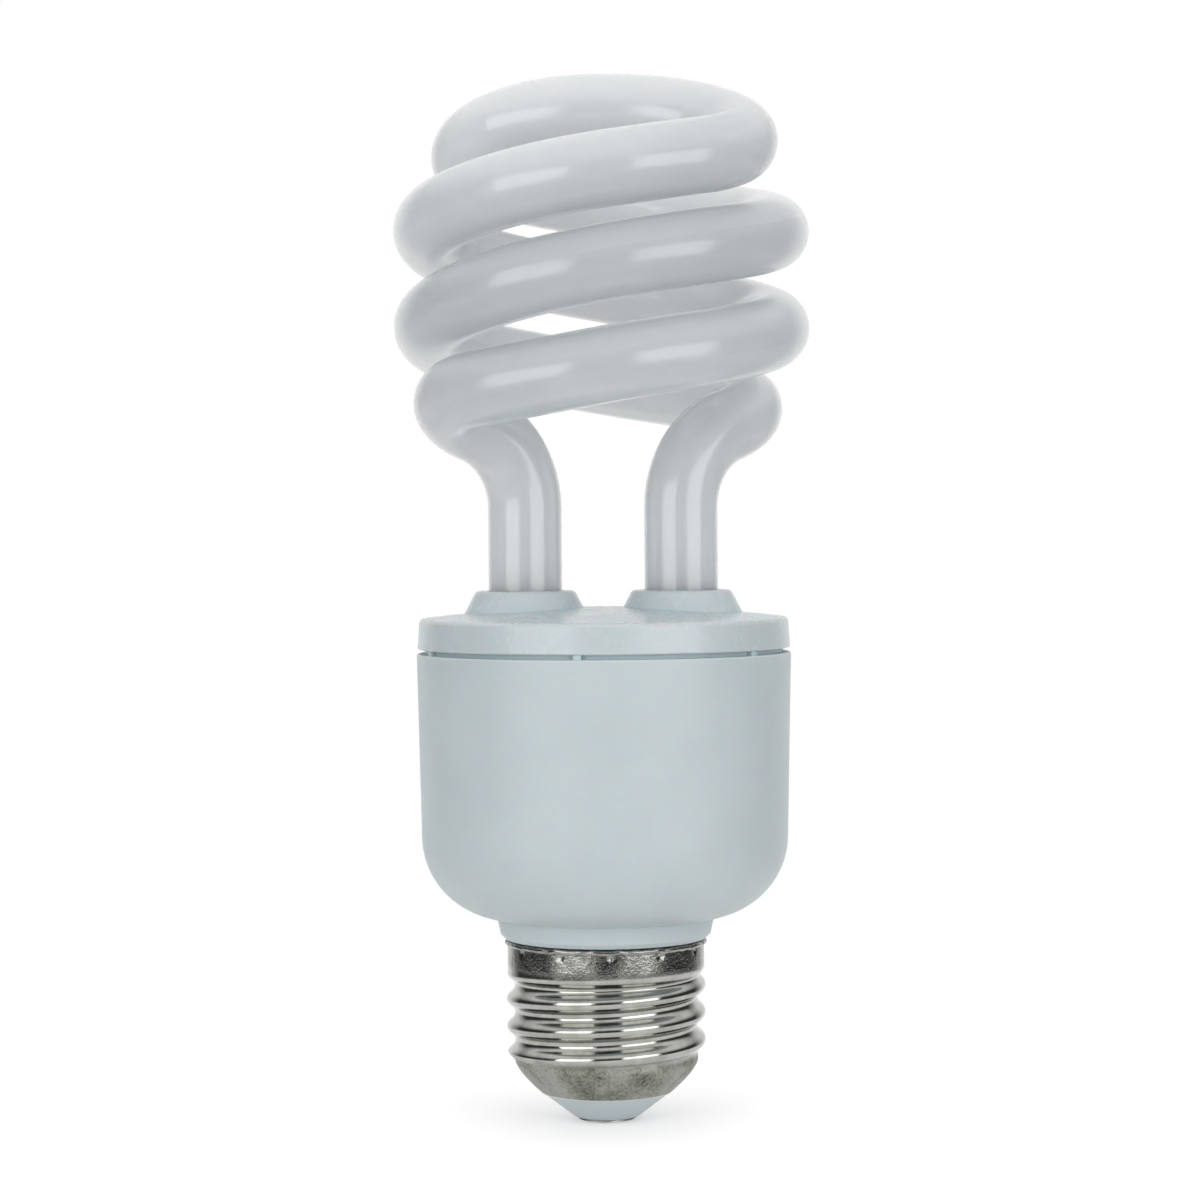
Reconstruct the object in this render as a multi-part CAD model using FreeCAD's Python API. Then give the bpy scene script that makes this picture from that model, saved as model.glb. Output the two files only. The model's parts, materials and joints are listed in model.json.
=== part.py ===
# Spiral energy saving bulb with a screw base, modelled base down on the axis of its thread.
# The origin is the middle of the centre contact's face, +Z points at the coil, and the photo's
# front is -Y. Lengths are millimetres.
import FreeCAD
import Part
import math
import os

Vec = FreeCAD.Vector
UP = Vec(0, 0, 1)
AXIS_POINT = Vec(0, 0, 0)
FULL_TURN = 360

# Centre contact and its insulator
CONTACT_RADIUS = 3.9
CONTACT_THICKNESS = 0.35
RIVET_RADIUS = 1.5
RIVET_HEIGHT = 7.2
INSULATOR_FACE_RADIUS = 4.1
INSULATOR_CONE_RADIUS = 8.4
INSULATOR_CONE_HEIGHT = 3.3
INSULATOR_EDGE = 2.0
INSULATOR_NECK_HEIGHT = 1.1
INSULATOR_FLANGE = 0.7
INSULATOR_FLANGE_HEIGHT = 1.8

# Screw shell, rolled from sheet
SHELL_WALL = 0.4
SHELL_LIP_RADIUS = 8.55
DOME_HEIGHT = 4.15
THREAD_PITCH = 3.629
THREAD_CREST_RADIUS = 13.15
THREAD_ROOT_RADIUS = 12.1
THREAD_FIRST_CREST = 2.9
THREAD_LEAD_IN = 1.6
THREAD_HEIGHT = 12.6
THREAD_RUN_OUT = 2.0
THREAD_FULLNESS = 0.06
BAND_RADIUS = 13.0
BAND_HEIGHT = 3.8
RIM_FLARE = 0.3
RIM_FLARE_HEIGHT = 0.8
THREAD_COLUMNS = 24
THREAD_ROWS_PER_PITCH = 12

# Ballast housing
HOUSING_WALL = 1.6
NECK_FOOT_RADIUS = 13.3
NECK_RADIUS = 13.9
NECK_TOP_RADIUS = 14.4
NECK_EDGE = 0.6
NECK_HEIGHT = 2.85
BOWL_RADIUS = 10.8
WALL_FOOT_RADIUS = 24.2
WALL_DRAFT = 0.5
WALL_HEIGHT = 24.1
SPIGOT_HEIGHT = 12.2
SPIGOT_WALL = 1.9
BOARD_RIB_COUNT = 6
BOARD_RIB_WIDTH = 1.6
BOARD_RIB_DEPTH = 2.0
BOARD_RIB_HEIGHT = 10.0

# Collar that closes the housing and holds the tube's legs
SEAM_GAP = 0.6
SEAM_DEPTH = 1.1
SEAM_NIB_COUNT = 6
SEAM_NIB_WIDTH = 1.0
SEAM_NIB_INSET = 0.35
SEAM_EDGE = 0.25
SEAM_NIB_TURN = 82.0
COLLAR_STEP = 0.1
COLLAR_DRAFT = 0.25
COLLAR_HEIGHT = 4.0
COLLAR_EDGE = 0.6
COLLAR_CROWN = 1.4
DOME_POINT_COUNT = 4
COLLAR_THICKNESS = 1.9
SKIRT_DEPTH = 5.9
SKIRT_WALL = 1.4
HOOK_COUNT = 6
HOOK_SPAN = 18.0
HOOK_REACH = 0.55
HOOK_HEIGHT = 1.3
HOOK_RISE = 1.7
BOSS_FOOT_RADIUS = 8.4
BOSS_TOP_RADIUS = 6.5
BOSS_HEIGHT = 3.6
BOSS_EDGE = 0.7
CEMENT_RADIUS = 7.6
CEMENT_HEIGHT = 2.0

# Discharge tube: two legs, a double right-hand coil and a crossover at the crown
TUBE_RADIUS = 4.85
LEG_SPACING = 20.6
LEG_SINK = 6.5
LEG_FOOT_ROUND = 2.0
LEG_RISE = 14.5
LEG_BEND_RADIUS = 11.4
LEG_BEND_HEADING = 35.5
LEG_BEND_TURN = 70.5
COIL_RISE = 11.1
COIL_RADIUS = 22.5
COIL_PITCH = 25.6
COIL_BOW = 0.3
COIL_FIRST_ANGLE = 90.0
COIL_LAST_ANGLE = 487.0
COIL_ARC_COUNT = 6
CROWN_FIRST_ANGLE = 330.0
CROWN_RADIUS = 22.3
CROWN_DROP = 1.3
CROWN_RISE = 7.7
CROWN_END_PULL = 13.0
CROWN_MIDDLE_PULL = 15.4
CROWN_ARC_COUNT = 3

# Circuit board and the parts that hang under it
BOARD_THICKNESS = 1.6
LEAD_RADIUS = 0.35
LEAD_BEND = 0.8
LEAD_TIP = 0.8
STAND_OFF = 0.6
CAN_RADIUS = 6.25
CAN_LENGTH = 20.0
CAN_GROOVE = 0.5
CAN_GROOVE_DROP = 2.6
CAN_LEAD_PITCH = 5.0
CAN_X = -12.5
CHOKE_X = 11.5
CORE_LENGTH = 16.0
CORE_DEPTH = 4.8
CORE_HALF_HEIGHT = 6.4
CORE_YOKE = 2.2
CORE_LEG = 2.3
CORE_CENTRE_LEG = 4.4
BOBBIN_WALL = 0.8
BOBBIN_FLANGE_THICKNESS = 0.9
BOBBIN_FLANGE_REACH = 2.6
WINDING_REACH = 2.0
BOBBIN_PIN_PITCH = 9.2
RING_Y = 14.2
RING_X = -1.0
RING_RADIUS = 4.5
RING_BORE_RADIUS = 2.5
RING_HEIGHT = 3.0
RING_COIL_COUNT = 3
RING_COIL_SPAN = 60.0
RING_COIL_WIRE = 0.6
TRANSISTOR_WIDTH = 7.6
TRANSISTOR_DEPTH = 2.8
TRANSISTOR_HEIGHT = 11.0
TRANSISTOR_HOLE_RADIUS = 1.6
TRANSISTOR_HOLE_DROP = 7.4
TRANSISTOR_LEAD_PITCH = 2.3
TRANSISTOR_SPOTS = [(9.5, 13.0), (-10.5, 12.0)]
FILM_LENGTH = 10.0
FILM_DEPTH = 5.0
FILM_HEIGHT = 9.0
FILM_EDGE = 0.8
FILM_LEAD_PITCH = 7.5
FILM_SPOTS = {"start_capacitor": (-4.5, -13.5), "blocking_capacitor": (7.3, -13.2)}
DIODE_RADIUS = 1.35
DIODE_LENGTH = 5.2
DIODE_LEAD_PITCH = 7.4
DIODE_X = [-3.2, 2.2]
DIODE_Y = [-4.9, 4.9]
RESISTOR_RADIUS = 1.15
RESISTOR_LENGTH = 6.3
RESISTOR_LEAD_PITCH = 2.5
RESISTOR_SPOTS = [(-13.0, -10.2), (15.4, -6.6)]
FUSE_RADIUS = 1.7
FUSE_LENGTH = 9.0
FUSE_DROP = 34.0
FUSE_LEAD_RADIUS = 0.35
WIRE_RADIUS = 0.4
WIRE_BORE_GAP = 0.3
WIRE_DROP = 1.0
WIRE_CLIMB = 8.0
WIRE_BEND_SHARE = 0.45
FILAMENT_LEAD_OFFSET = 1.6
FILAMENT_LEAD_RADIUS = 0.3

# Clearances between pieces that go together
SOLDER_GAP = 0.1
PRESS_GAP = 0.05
SPIGOT_GAP = 0.15
SKIRT_GAP = 0.2
HOOK_GAP = 0.1
BOARD_GAP = 0.4
TUBE_GAP = 0.15

# Heights, from the contact's face upward
LIP_Z = CONTACT_THICKNESS + INSULATOR_CONE_HEIGHT
THREAD_Z = LIP_Z + DOME_HEIGHT
BAND_Z = THREAD_Z + THREAD_HEIGHT
NECK_Z = BAND_Z + BAND_HEIGHT
BOWL_X = WALL_FOOT_RADIUS - BOWL_RADIUS
NECK_TOP_Z = NECK_Z + NECK_HEIGHT
BOWL_Z = NECK_TOP_Z + math.sqrt(BOWL_RADIUS ** 2 - (NECK_TOP_RADIUS - BOWL_X) ** 2)
RIM_Z = BOWL_Z + WALL_HEIGHT
COLLAR_Z = RIM_Z + SEAM_GAP
COLLAR_TOP_Z = COLLAR_Z + COLLAR_HEIGHT
CEILING_Z = COLLAR_TOP_Z - COLLAR_THICKNESS
BOSS_Z = COLLAR_TOP_Z + BOSS_HEIGHT
BOARD_TOP_Z = COLLAR_Z - SKIRT_DEPTH
BOARD_Z = BOARD_TOP_Z - BOARD_THICKNESS
LEG_FOOT_Z = COLLAR_TOP_Z - LEG_SINK
LEG_TOP_Z = COLLAR_TOP_Z + LEG_RISE
COIL_Z = LEG_TOP_Z + COIL_RISE
LEAD_TOP_Z = BOARD_TOP_Z + LEAD_TIP

# Radii that follow from a neighbour and a clearance
LEG_X = LEG_SPACING / 2
SPIGOT_RADIUS = THREAD_ROOT_RADIUS - SHELL_WALL - SPIGOT_GAP
SPIGOT_BORE_RADIUS = SPIGOT_RADIUS - SPIGOT_WALL
WALL_RIM_RADIUS = WALL_FOOT_RADIUS + WALL_DRAFT
COLLAR_FOOT_RADIUS = WALL_RIM_RADIUS - COLLAR_STEP
COLLAR_TOP_RADIUS = COLLAR_FOOT_RADIUS - COLLAR_DRAFT
CAVITY_FOOT_RADIUS = WALL_FOOT_RADIUS - HOUSING_WALL
CAVITY_RIM_RADIUS = WALL_RIM_RADIUS - HOUSING_WALL
SKIRT_RADIUS = CAVITY_FOOT_RADIUS - SKIRT_GAP
SEAT_RADIUS = WALL_RIM_RADIUS - SEAM_DEPTH
RIB_RADIUS = CAVITY_FOOT_RADIUS - BOARD_RIB_DEPTH
BOARD_RADIUS = CAVITY_FOOT_RADIUS - BOARD_GAP
HOOK_Z = BOARD_TOP_Z + HOOK_RISE
WIRE_Y = -(SPIGOT_BORE_RADIUS - WIRE_BORE_GAP - WIRE_RADIUS)
WIRE_RISE_Y = -(THREAD_ROOT_RADIUS - SHELL_WALL - PRESS_GAP - WIRE_RADIUS)


# Shapes shared by several pieces
def revolve(edges):
    """Turn a closed outline in the XZ plane into a solid round the bulb's axis."""
    face = Part.Face(Part.Wire(edges))
    return face.revolve(AXIS_POINT, UP, FULL_TURN)


def round_edge(solid, radius, height, amount):
    """Round the edge of a turned solid that runs round its axis at a radius and a height."""
    found = []
    for edge in solid.Edges:
        box = edge.BoundBox
        if abs(box.XMax - radius) < PRESS_GAP and max(box.ZMax - height, height - box.ZMin) < PRESS_GAP:
            found.append(edge)
    return solid.makeFillet(amount, found)


def outline(points):
    """Close straight edges through (radius, height) points."""
    corners = [Vec(radius, 0, height) for radius, height in points]
    return Part.makePolygon(corners + corners[:1]).Edges


def ring(outer, inner, bottom, height, x=0.0, y=0.0):
    """A round tube standing at x, y."""
    base = Vec(x, y, bottom)
    return Part.makeCylinder(outer, height, base).cut(Part.makeCylinder(inner, height, base))


def block(length, depth, height, middle_x, middle_y, bottom):
    """A box centred on x, y that stands on its bottom."""
    corner = Vec(middle_x - length / 2, middle_y - depth / 2, bottom)
    return Part.makeBox(length, depth, height, corner)


def turned_copies(shape, count, first=0.0):
    """Copies of a shape spread evenly round the bulb's axis."""
    copies = []
    for index in range(count):
        copy = shape.copy()
        copy.rotate(AXIS_POINT, UP, first + FULL_TURN * index / count)
        copies.append(copy)
    return copies


def sweep_round(path, radius, start, heading):
    """A round bar of the given radius along a smooth path."""
    section = Part.Face(Part.Wire(Part.makeCircle(radius, start, heading)))
    return Part.Wire(path).makePipe(section)


def bent_rod(points, radius, bend):
    """A round wire through points, with every corner turned on an arc."""
    path = []
    start = points[0]
    for before, corner, after in zip(points, points[1:], points[2:]):
        into = (before - corner).normalize()
        out = (after - corner).normalize()
        half = into.getAngle(out) / 2
        first = corner + into * (bend / math.tan(half))
        last = corner + out * (bend / math.tan(half))
        middle = corner + (into + out).normalize() * (bend / math.sin(half) - bend)
        path.append(Part.LineSegment(start, first).toShape())
        path.append(Part.Arc(first, middle, last).toShape())
        start = last
    path.append(Part.LineSegment(start, points[-1]).toShape())
    return sweep_round(path, radius, points[0], points[1] - points[0])


def post_lead(x, y, body_z):
    """A straight lead from a body up through the board."""
    return Part.makeCylinder(LEAD_RADIUS, LEAD_TOP_Z - body_z, Vec(x, y, body_z))


# Base
def make_centre_contact():
    disc = Part.makeCylinder(CONTACT_RADIUS, CONTACT_THICKNESS)
    rivet = Part.makeCylinder(RIVET_RADIUS, CONTACT_THICKNESS + RIVET_HEIGHT)
    bore_z = CONTACT_THICKNESS
    bore = Part.makeCylinder(FUSE_LEAD_RADIUS + PRESS_GAP, RIVET_HEIGHT, Vec(0, 0, bore_z))
    return disc.fuse(rivet).cut(bore)


def make_base_insulator():
    neck = SHELL_LIP_RADIUS - SHELL_WALL - PRESS_GAP
    flange = neck + INSULATOR_FLANGE
    flange_z = LIP_Z + INSULATOR_NECK_HEIGHT
    top = flange_z + INSULATOR_FLANGE_HEIGHT
    bore = RIVET_RADIUS + PRESS_GAP
    cone = revolve(outline([
        (bore, CONTACT_THICKNESS),
        (INSULATOR_FACE_RADIUS, CONTACT_THICKNESS),
        (INSULATOR_CONE_RADIUS, LIP_Z),
        (neck, LIP_Z),
        (neck, flange_z),
        (flange, flange_z),
        (flange, top),
        (bore, top),
    ]))
    low_edges = [edge for edge in cone.Edges if edge.BoundBox.ZMax < CONTACT_THICKNESS + PRESS_GAP]
    face_edges = [edge for edge in low_edges if edge.BoundBox.XMax > CONTACT_RADIUS]
    return cone.makeFillet(INSULATOR_EDGE, face_edges)


def eased(value):
    """A smooth step from 0 to 1."""
    part = min(max(value, 0.0), 1.0)
    return part * part * (3 - 2 * part)


def curve_gain(poles_per_wave):
    """How much of a wave a cubic curve keeps when its poles lie on that wave."""
    return (2 + math.cos(2 * math.pi / poles_per_wave)) / 3


def shell_radius(angle, height):
    """Outer radius of the rolled shell at an angle round the axis and a height."""
    if height < THREAD_Z:
        part = (height - LIP_Z) / DOME_HEIGHT
        swell = (part + math.sin(part * math.pi / 2)) / 2
        return SHELL_LIP_RADIUS + (THREAD_ROOT_RADIUS - SHELL_LIP_RADIUS) * swell
    crest = THREAD_Z + THREAD_FIRST_CREST
    phase = 2 * math.pi * (height - crest) / THREAD_PITCH - angle
    depth = (THREAD_CREST_RADIUS - THREAD_ROOT_RADIUS) / 2
    wave = (1 + THREAD_FULLNESS) * math.cos(phase) / curve_gain(THREAD_ROWS_PER_PITCH)
    overtone = 3
    overtone_gain = curve_gain(THREAD_ROWS_PER_PITCH / overtone)
    flattening = THREAD_FULLNESS * math.cos(overtone * phase) / overtone_gain
    ridge = depth * (1 + wave - flattening)
    threaded = THREAD_ROOT_RADIUS + ridge * eased((height - THREAD_Z) / THREAD_LEAD_IN)
    run_out = eased((height - BAND_Z + THREAD_RUN_OUT) / THREAD_RUN_OUT)
    flare = RIM_FLARE * eased((height - NECK_Z + RIM_FLARE_HEIGHT) / RIM_FLARE_HEIGHT)
    return threaded + (BAND_RADIUS - threaded) * run_out + flare


def rolled_face(inset):
    """One side of the shell's sheet, as a smooth closed surface."""
    rows = round((NECK_Z - LIP_Z) * THREAD_ROWS_PER_PITCH / THREAD_PITCH)
    step = (NECK_Z - LIP_Z) / rows
    inner_rows = [step * index for index in range(1, rows)]
    heights = [0, step / 3] + inner_rows + [rows * step - step / 3, rows * step]
    angles = [2 * math.pi * index / THREAD_COLUMNS for index in range(THREAD_COLUMNS)]
    poles = []
    for angle in angles:
        column = []
        for height in heights:
            radius = (shell_radius(angle, LIP_Z + height) - inset) / curve_gain(THREAD_COLUMNS)
            column.append(Vec(radius * math.cos(angle), radius * math.sin(angle), LIP_Z + height))
        poles.append(column)
    around = list(range(THREAD_COLUMNS + 1))
    along = list(range(rows + 1))
    along_counts = [4] + [1] * (rows - 1) + [4]
    surface = Part.BSplineSurface()
    surface.buildFromPolesMultsKnots(
        poles, [1] * len(around), along_counts, around, along, True, False, 3, 3)
    return surface.toShape()


def end_wire(face, height):
    """The face's round edge at a height."""
    edges = [edge for edge in face.Edges if abs(edge.BoundBox.ZMin - height) < PRESS_GAP]
    flat = [edge for edge in edges if edge.BoundBox.ZLength < PRESS_GAP]
    return Part.Wire(flat[:1])


def make_screw_shell():
    outside = rolled_face(0)
    inside = rolled_face(SHELL_WALL)
    faces = [outside, inside]
    for height in (LIP_Z, NECK_Z):
        faces.append(Part.Face([end_wire(outside, height), end_wire(inside, height)]))
    solid = Part.Solid(Part.Shell(faces))
    solid.fix(PRESS_GAP, PRESS_GAP, PRESS_GAP)
    return solid


# Housing and collar
def housing_outside():
    """The moulded body as a solid, without its spigot."""
    bowl_foot = Vec(NECK_TOP_RADIUS, 0, NECK_TOP_Z)
    bowl_end = Vec(WALL_FOOT_RADIUS, 0, BOWL_Z)
    slant = BOWL_RADIUS * math.sqrt(0.5)
    bowl_middle = Vec(BOWL_X + slant, 0, BOWL_Z - slant)
    neck_edge = Vec(NECK_RADIUS, 0, NECK_Z + NECK_EDGE)
    corners = [
        bowl_end,
        Vec(WALL_RIM_RADIUS, 0, RIM_Z),
        Vec(0, 0, RIM_Z),
        Vec(0, 0, NECK_Z),
        Vec(NECK_FOOT_RADIUS, 0, NECK_Z),
        neck_edge,
        bowl_foot,
    ]
    edges = Part.makePolygon(corners).Edges
    edges.append(Part.Arc(bowl_foot, bowl_middle, bowl_end).toShape())
    return revolve(edges)


def housing_cavity():
    """The hollow of the body, open at the rim."""
    bowl_inside = BOWL_RADIUS - HOUSING_WALL
    slant = bowl_inside * math.sqrt(0.5)
    bowl_foot = Vec(BOWL_X, 0, BOWL_Z - bowl_inside)
    bowl_middle = Vec(BOWL_X + slant, 0, BOWL_Z - slant)
    bowl_end = Vec(CAVITY_FOOT_RADIUS, 0, BOWL_Z)
    corners = [
        bowl_end,
        Vec(CAVITY_RIM_RADIUS, 0, RIM_Z),
        Vec(0, 0, RIM_Z),
        Vec(0, 0, BOWL_Z - bowl_inside),
        bowl_foot,
    ]
    edges = Part.makePolygon(corners).Edges
    edges.append(Part.Arc(bowl_foot, bowl_middle, bowl_end).toShape())
    hollow = revolve(edges)
    rib_length = HOUSING_WALL + BOARD_RIB_DEPTH
    rib_bottom = BOARD_Z - BOARD_RIB_HEIGHT
    rib_middle = RIB_RADIUS + rib_length / 2
    rib = block(rib_length, BOARD_RIB_WIDTH, BOARD_RIB_HEIGHT, rib_middle, 0, rib_bottom)
    return hollow.cut(turned_copies(rib, BOARD_RIB_COUNT, FULL_TURN / BOARD_RIB_COUNT / 2))


def make_ballast_housing():
    spigot_z = NECK_Z - SPIGOT_HEIGHT
    spigot = Part.makeCylinder(SPIGOT_RADIUS, SPIGOT_HEIGHT, Vec(0, 0, spigot_z))
    bore = Part.makeCylinder(SPIGOT_BORE_RADIUS, BOWL_Z - spigot_z, Vec(0, 0, spigot_z))
    slot_foot = Vec(0, WIRE_RISE_Y, spigot_z)
    wire_slot = Part.makeCylinder(WIRE_RADIUS + SOLDER_GAP, WIRE_CLIMB + SOLDER_GAP, slot_foot)
    catch_inside = SKIRT_RADIUS
    catch_outside = SKIRT_RADIUS + HOOK_REACH + HOOK_GAP
    catch = ring(catch_outside, catch_inside, HOOK_Z - HOOK_GAP, HOOK_HEIGHT + 2 * HOOK_GAP)
    nib_inside = SEAT_RADIUS + PRESS_GAP
    nib_outside = WALL_RIM_RADIUS - SEAM_NIB_INSET
    nib_middle = (nib_inside + nib_outside) / 2
    nib = block(nib_outside - nib_inside, SEAM_NIB_WIDTH, SEAM_GAP, nib_middle, 0, RIM_Z)
    nibs = turned_copies(nib, SEAM_NIB_COUNT, SEAM_NIB_TURN)
    rounded = round_edge(housing_outside(), WALL_RIM_RADIUS, RIM_Z, SEAM_EDGE)
    body = rounded.fuse([spigot] + nibs)
    return body.cut([bore, housing_cavity(), wire_slot, catch]).removeSplitter()


def make_tube_collar():
    skirt_inside = SKIRT_RADIUS - SKIRT_WALL
    edge_z = COLLAR_TOP_Z - COLLAR_EDGE
    edge_x = COLLAR_TOP_RADIUS - COLLAR_EDGE
    slant = COLLAR_EDGE * math.sqrt(0.5)
    side_top = Vec(COLLAR_TOP_RADIUS, 0, edge_z)
    edge_middle = Vec(edge_x + slant, 0, edge_z + slant)
    # The domed top is a spline through points of a shallow arc, because bosses fuse badly with a sphere.
    dome_radius = (edge_x ** 2 + COLLAR_CROWN ** 2) / (2 * COLLAR_CROWN)
    dome_points = []
    for index in range(DOME_POINT_COUNT + 1):
        x = edge_x * (1 - index / DOME_POINT_COUNT)
        sag = dome_radius - math.sqrt(dome_radius ** 2 - x ** 2)
        dome_points.append(Vec(x, 0, COLLAR_TOP_Z + COLLAR_CROWN - sag))
    dome = Part.BSplineCurve()
    dome.interpolate(dome_points)
    corners = [
        dome_points[-1],
        Vec(0, 0, CEILING_Z),
        Vec(skirt_inside, 0, CEILING_Z),
        Vec(skirt_inside, 0, BOARD_TOP_Z),
        Vec(SKIRT_RADIUS, 0, BOARD_TOP_Z),
        Vec(SKIRT_RADIUS, 0, RIM_Z),
        Vec(SEAT_RADIUS, 0, RIM_Z),
        Vec(SEAT_RADIUS, 0, COLLAR_Z),
        Vec(COLLAR_FOOT_RADIUS, 0, COLLAR_Z),
        side_top,
    ]
    edges = Part.makePolygon(corners).Edges
    edges.append(Part.Arc(side_top, edge_middle, dome_points[0]).toShape())
    edges.append(dome.toShape())
    lid = round_edge(revolve(edges), COLLAR_FOOT_RADIUS, COLLAR_Z, SEAM_EDGE)
    hook_face = Part.Face(Part.Wire(outline([
        (SKIRT_RADIUS - SKIRT_WALL / 2, HOOK_Z),
        (SKIRT_RADIUS, HOOK_Z),
        (SKIRT_RADIUS + HOOK_REACH, HOOK_Z + HOOK_HEIGHT),
        (SKIRT_RADIUS - SKIRT_WALL / 2, HOOK_Z + HOOK_HEIGHT),
    ])))
    hook = hook_face.revolve(AXIS_POINT, UP, HOOK_SPAN)
    hook.rotate(AXIS_POINT, UP, -HOOK_SPAN / 2)
    solids = turned_copies(hook, HOOK_COUNT)
    holes = []
    for side in (-1, 1):
        foot = Vec(side * LEG_X, 0, COLLAR_TOP_Z)
        boss = Part.makeCone(BOSS_FOOT_RADIUS, BOSS_TOP_RADIUS, BOSS_HEIGHT, foot)
        top_edges = [edge for edge in boss.Edges if edge.BoundBox.ZMin > BOSS_Z - PRESS_GAP]
        solids.append(boss.makeFillet(BOSS_EDGE, top_edges))
        hole_foot = Vec(side * LEG_X, 0, CEILING_Z)
        holes.append(Part.makeCylinder(TUBE_RADIUS + TUBE_GAP, BOSS_Z - CEILING_Z, hole_foot))
    return lid.fuse(solids).cut(holes).removeSplitter()


def make_cement(side):
    bottom = CEILING_Z - CEMENT_HEIGHT
    return ring(CEMENT_RADIUS, TUBE_RADIUS + PRESS_GAP, bottom, CEMENT_HEIGHT, side * LEG_X)


# Discharge tube
def coil_point(angle):
    """Centre of the first strand at an angle in degrees: a bowed helix that eases into the crown."""
    late = eased((angle - CROWN_FIRST_ANGLE) / (COIL_LAST_ANGLE - CROWN_FIRST_ANGLE))
    radius = COIL_RADIUS + (CROWN_RADIUS - COIL_RADIUS) * late
    turn = math.radians(angle)
    climb = COIL_PITCH * angle / FULL_TURN - COIL_BOW * math.cos(2 * turn)
    height = COIL_Z + climb - CROWN_DROP * late
    return Vec(radius * math.cos(turn), radius * math.sin(turn), height)


def coil_heading(angle):
    """Direction of the first strand, from two points close to each other."""
    small = 0.02
    return (coil_point(angle + small) - coil_point(angle - small)).normalize()


def crown_stations():
    """Points and directions along a cubic curve from the coil's end to the middle of the crown."""
    first = coil_point(COIL_LAST_ANGLE)
    last = Vec(0, 0, first.z + CROWN_RISE)
    second = first + coil_heading(COIL_LAST_ANGLE) * CROWN_END_PULL
    third = last - Vec(CROWN_MIDDLE_PULL, 0, 0)
    stations = []
    for index in range(CROWN_ARC_COUNT + 1):
        t = index / CROWN_ARC_COUNT
        u = 1 - t
        point = first * u ** 3 + second * (3 * t * u * u) + third * (3 * t * t * u) + last * t ** 3
        heading = (second - first) * (u * u) + (third - second) * (2 * t * u) + (last - third) * (t * t)
        stations.append((point, heading.normalize()))
    return stations


def strand_stations():
    """Points and directions from the top of the right leg up to the middle of the crown."""
    heading = math.radians(LEG_BEND_HEADING)
    turn = math.radians(LEG_BEND_TURN)
    outward = Vec(math.cos(heading), math.sin(heading), 0)
    leg_top = Vec(LEG_X, 0, LEG_TOP_Z)
    reach = outward * (1 - math.cos(turn)) + UP * math.sin(turn)
    bend_end = leg_top + reach * LEG_BEND_RADIUS
    bend_heading = outward * math.sin(turn) + UP * math.cos(turn)
    stations = [(leg_top, UP), (bend_end, bend_heading)]
    for index in range(COIL_ARC_COUNT):
        angle = COIL_FIRST_ANGLE + (COIL_LAST_ANGLE - COIL_FIRST_ANGLE) * index / COIL_ARC_COUNT
        stations.append((coil_point(angle), coil_heading(angle)))
    return stations + crown_stations()


def arc_pair(start, start_heading, end, end_heading):
    """Two arcs that meet smoothly and follow the given directions at both ends."""
    span = end - start
    along = span.dot(start_heading + end_heading)
    turn = 2 * (1 - start_heading.dot(end_heading))
    reach = (math.sqrt(along * along + turn * span.dot(span)) - along) / turn
    first_corner = start + start_heading * reach
    last_corner = end - end_heading * reach
    middle = (first_corner + last_corner) * 0.5
    arcs = []
    for begin, corner, finish in ((start, first_corner, middle), (middle, last_corner, end)):
        weight = (finish - begin).Length / 2 / reach
        halfway = ((begin + finish) * 0.5 + corner * weight) * (1 / (1 + weight))
        arcs.append(Part.Arc(begin, halfway, finish).toShape())
    return arcs


def make_discharge_tube():
    rising = strand_stations()
    falling = []
    for point, heading in reversed(rising[:-1]):
        falling.append((Vec(-point.x, -point.y, point.z), Vec(heading.x, heading.y, -heading.z)))
    stations = rising + falling
    path = []
    for (start, start_heading), (end, end_heading) in zip(stations, stations[1:]):
        path.extend(arc_pair(start, start_heading, end, end_heading))
    spiral = sweep_round(path, TUBE_RADIUS, stations[0][0], UP)
    legs = []
    for side in (-1, 1):
        foot = Vec(side * LEG_X, 0, LEG_FOOT_Z)
        leg = Part.makeCylinder(TUBE_RADIUS, LEG_TOP_Z - LEG_FOOT_Z, foot)
        foot_edges = [edge for edge in leg.Edges if edge.BoundBox.ZMax < LEG_FOOT_Z + PRESS_GAP]
        legs.append(leg.makeFillet(LEG_FOOT_ROUND, foot_edges))
    return spiral.fuse(legs)


# Circuit board and what it carries
def can_leads():
    return [(CAN_X, -CAN_LEAD_PITCH / 2), (CAN_X, CAN_LEAD_PITCH / 2)]


def bobbin_pins():
    return [(CHOKE_X - BOBBIN_PIN_PITCH / 2, 0), (CHOKE_X + BOBBIN_PIN_PITCH / 2, 0)]


def transistor_leads(spot):
    x, y = spot
    return [(x + step * TRANSISTOR_LEAD_PITCH, y) for step in (-1, 0, 1)]


def film_leads(spot):
    x, y = spot
    return [(x - FILM_LEAD_PITCH / 2, y), (x + FILM_LEAD_PITCH / 2, y)]


def diode_spots():
    return [(x, y) for x in DIODE_X for y in DIODE_Y]


def diode_leads(spot):
    x, y = spot
    return [(x, y - DIODE_LEAD_PITCH / 2), (x, y + DIODE_LEAD_PITCH / 2)]


def resistor_leads(spot):
    x, y = spot
    return [(x, y), (x + RESISTOR_LEAD_PITCH, y)]


def ring_leads():
    middle = (RING_RADIUS + RING_BORE_RADIUS) / 2
    spots = []
    for index in range(RING_COIL_COUNT):
        turn = math.radians(RING_COIL_SPAN / 2 + FULL_TURN * index / RING_COIL_COUNT)
        spots.append((RING_X + middle * math.cos(turn), RING_Y + middle * math.sin(turn)))
    return spots


def filament_spots():
    return [(side * LEG_X, offset * FILAMENT_LEAD_OFFSET) for side in (-1, 1) for offset in (-1, 1)]


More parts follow.
